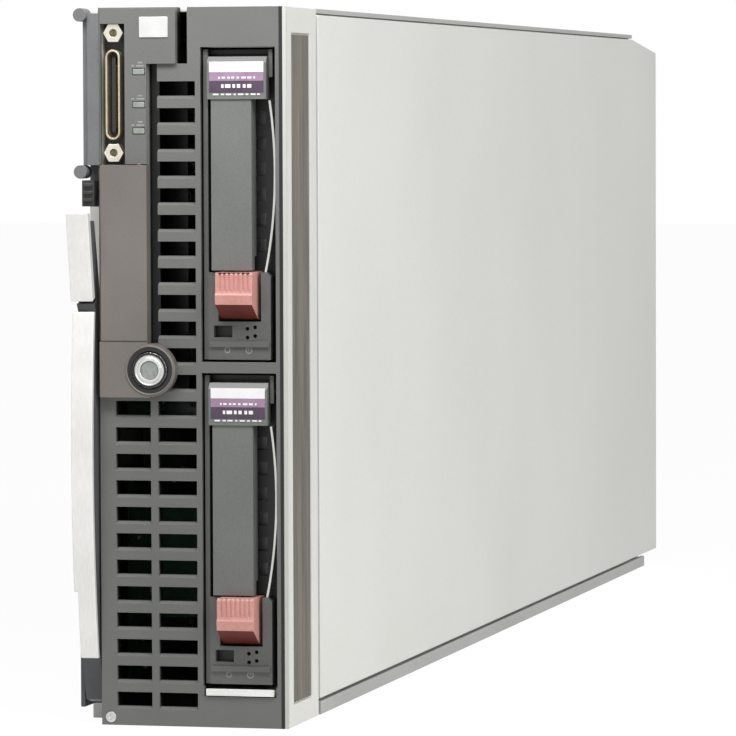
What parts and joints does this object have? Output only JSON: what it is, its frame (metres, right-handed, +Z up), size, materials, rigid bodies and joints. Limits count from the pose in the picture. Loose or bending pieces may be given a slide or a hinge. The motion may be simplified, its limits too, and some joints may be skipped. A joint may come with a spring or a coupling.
{
  "type": "blade server",
  "caption": "Upright half-height blade server with slotted front, two hot-plug drives, release lever, sliding access panel and fitted board.",
  "frame": {"origin": "middle of the chassis's bottom face", "axes": "+X towards the access panel, +Y from the front face to the rear connectors, +Z up"},
  "size_m": [0.0556, 0.5195, 0.1817],
  "materials": {
    "zinc_steel": "satin zinc-plated steel sheet",
    "gasket": "conductive fabric over foam",
    "front_plastic": "fine-textured moulding",
    "plate_paint": "metallic paint",
    "touch_blue": "moulded",
    "bright_steel": "plated",
    "black_plastic": "moulded",
    "shell_metal": "tin-plated",
    "circuit_board": "solder resist over glass epoxy",
    "clear_plastic": "clear moulding",
    "satin_chrome": "satin chrome",
    "lens_plastic": "translucent moulding",
    "dark_steel": "dark paint",
    "tab_plastic": "moulded",
    "brass": "turned",
    "socket_plastic": "moulded",
    "nickel_lid": "nickel-plated",
    "fin_aluminium": "bare",
    "baffle_plastic": "moulded",
    "ferrite": "pressed ferrite",
    "can_aluminium": "sleeved can",
    "cast_metal": "die-cast",
    "carrier_plastic": "moulded",
    "disk_aluminium": "cast and pressed",
    "ejector_plastic": "fine-textured moulding",
    "release_red": "moulded"
  },
  "bodies": {
    "chassis": {"chassis_pan": "zinc_steel", "front_frame": "zinc_steel", "emi_gasket": "gasket", "front_bezel": "front_plastic", "button_plate": "plate_paint", "left_trim": "front_plastic", "chassis_rivets": "bright_steel", "panel_screws": "bright_steel", "io_connector_body": "black_plastic", "io_connector_shell": "shell_metal", "io_jack_sockets": "shell_metal", "front_board": "circuit_board", "light_pipes": "clear_plastic", "lever_bracket": "dark_steel", "lever_pin": "bright_steel", "drive_cage": "zinc_steel", "drive_backplane": "circuit_board", "backplane_sockets": "black_plastic", "system_board": "circuit_board", "standoffs": "brass", "processor_sockets": "socket_plastic", "processors": "nickel_lid", "heat_sink_1": "fin_aluminium", "heat_sink_2": "fin_aluminium", "memory_sockets": "black_plastic", "memory_modules": "circuit_board", "air_baffle": "baffle_plastic", "chipset_heat_sink": "fin_aluminium", "inductors": "ferrite", "capacitors": "can_aluminium", "mezzanine_sockets": "black_plastic", "mezzanine_cards": "circuit_board", "cache_module": "circuit_board", "coin_cell": "bright_steel", "signal_connector": "black_plastic", "power_connector": "black_plastic", "guide_housing": "cast_metal"},
    "panel": {"access_panel": "zinc_steel"},
    "panel_latch": {"panel_latch": "touch_blue"},
    "lever": {"release_lever": "dark_steel", "lever_strip": "satin_chrome"},
    "latch_button": {"latch_button": "black_plastic"},
    "power_button": {"power_button": "satin_chrome", "power_lens": "lens_plastic"},
    "label_tab": {"pull_tab": "tab_plastic"},
    "drive_1": {"carrier_1": "carrier_plastic", "disk_1": "disk_aluminium", "ground_spring_1": "satin_chrome", "ejector_pin_1": "bright_steel"},
    "ejector_1": {"ejector_1": "ejector_plastic"},
    "drive_button_1": {"drive_button_1": "release_red"},
    "drive_2": {"carrier_2": "carrier_plastic", "disk_2": "disk_aluminium", "ground_spring_2": "satin_chrome", "ejector_pin_2": "bright_steel"},
    "ejector_2": {"ejector_2": "ejector_plastic"},
    "drive_button_2": {"drive_button_2": "release_red"}
  },
  "joints": [
    {"name": "panel_slide", "type": "slide", "parent": "chassis", "child": "panel", "axis": [0, 1, 0], "range_m": [0, 0.43]},
    {"name": "panel_latch_press", "type": "slide", "parent": "chassis", "child": "panel_latch", "axis": [0, 0, -1], "range_m": [0, 0.0015], "stiffness_N_per_m": 300},
    {"name": "lever_pivot", "type": "hinge", "parent": "chassis", "child": "lever", "pos_m": [-0.0242, -0.2485, 0.01], "axis": [1, 0, 0], "range_deg": [0, 50]},
    {"name": "latch_button_press", "type": "slide", "parent": "chassis", "child": "latch_button", "axis": [0, 1, 0], "range_m": [0, 0.002], "stiffness_N_per_m": 300},
    {"name": "power_button_press", "type": "slide", "parent": "chassis", "child": "power_button", "axis": [0, 1, 0], "range_m": [0, 0.0012], "stiffness_N_per_m": 400},
    {"name": "label_tab_pull", "type": "slide", "parent": "chassis", "child": "label_tab", "axis": [0, -1, 0], "range_m": [0, 0.05]},
    {"name": "drive_1_slide", "type": "slide", "parent": "chassis", "child": "drive_1", "axis": [0, -1, 0], "range_m": [0, 0.15]},
    {"name": "ejector_1_pivot", "type": "hinge", "parent": "drive_1", "child": "ejector_1", "pos_m": [0.0149, -0.2519, 0.1674], "axis": [-1, 0, 0], "range_deg": [0, 50]},
    {"name": "drive_button_1_press", "type": "slide", "parent": "drive_1", "child": "drive_button_1", "axis": [0, 1, 0], "range_m": [0, 0.002], "stiffness_N_per_m": 300},
    {"name": "drive_2_slide", "type": "slide", "parent": "chassis", "child": "drive_2", "axis": [0, -1, 0], "range_m": [0, 0.15]},
    {"name": "ejector_2_pivot", "type": "hinge", "parent": "drive_2", "child": "ejector_2", "pos_m": [0.0149, -0.2519, 0.0854], "axis": [-1, 0, 0], "range_deg": [0, 50]},
    {"name": "drive_button_2_press", "type": "slide", "parent": "drive_2", "child": "drive_button_2", "axis": [0, 1, 0], "range_m": [0, 0.002], "stiffness_N_per_m": 300}
  ]
}
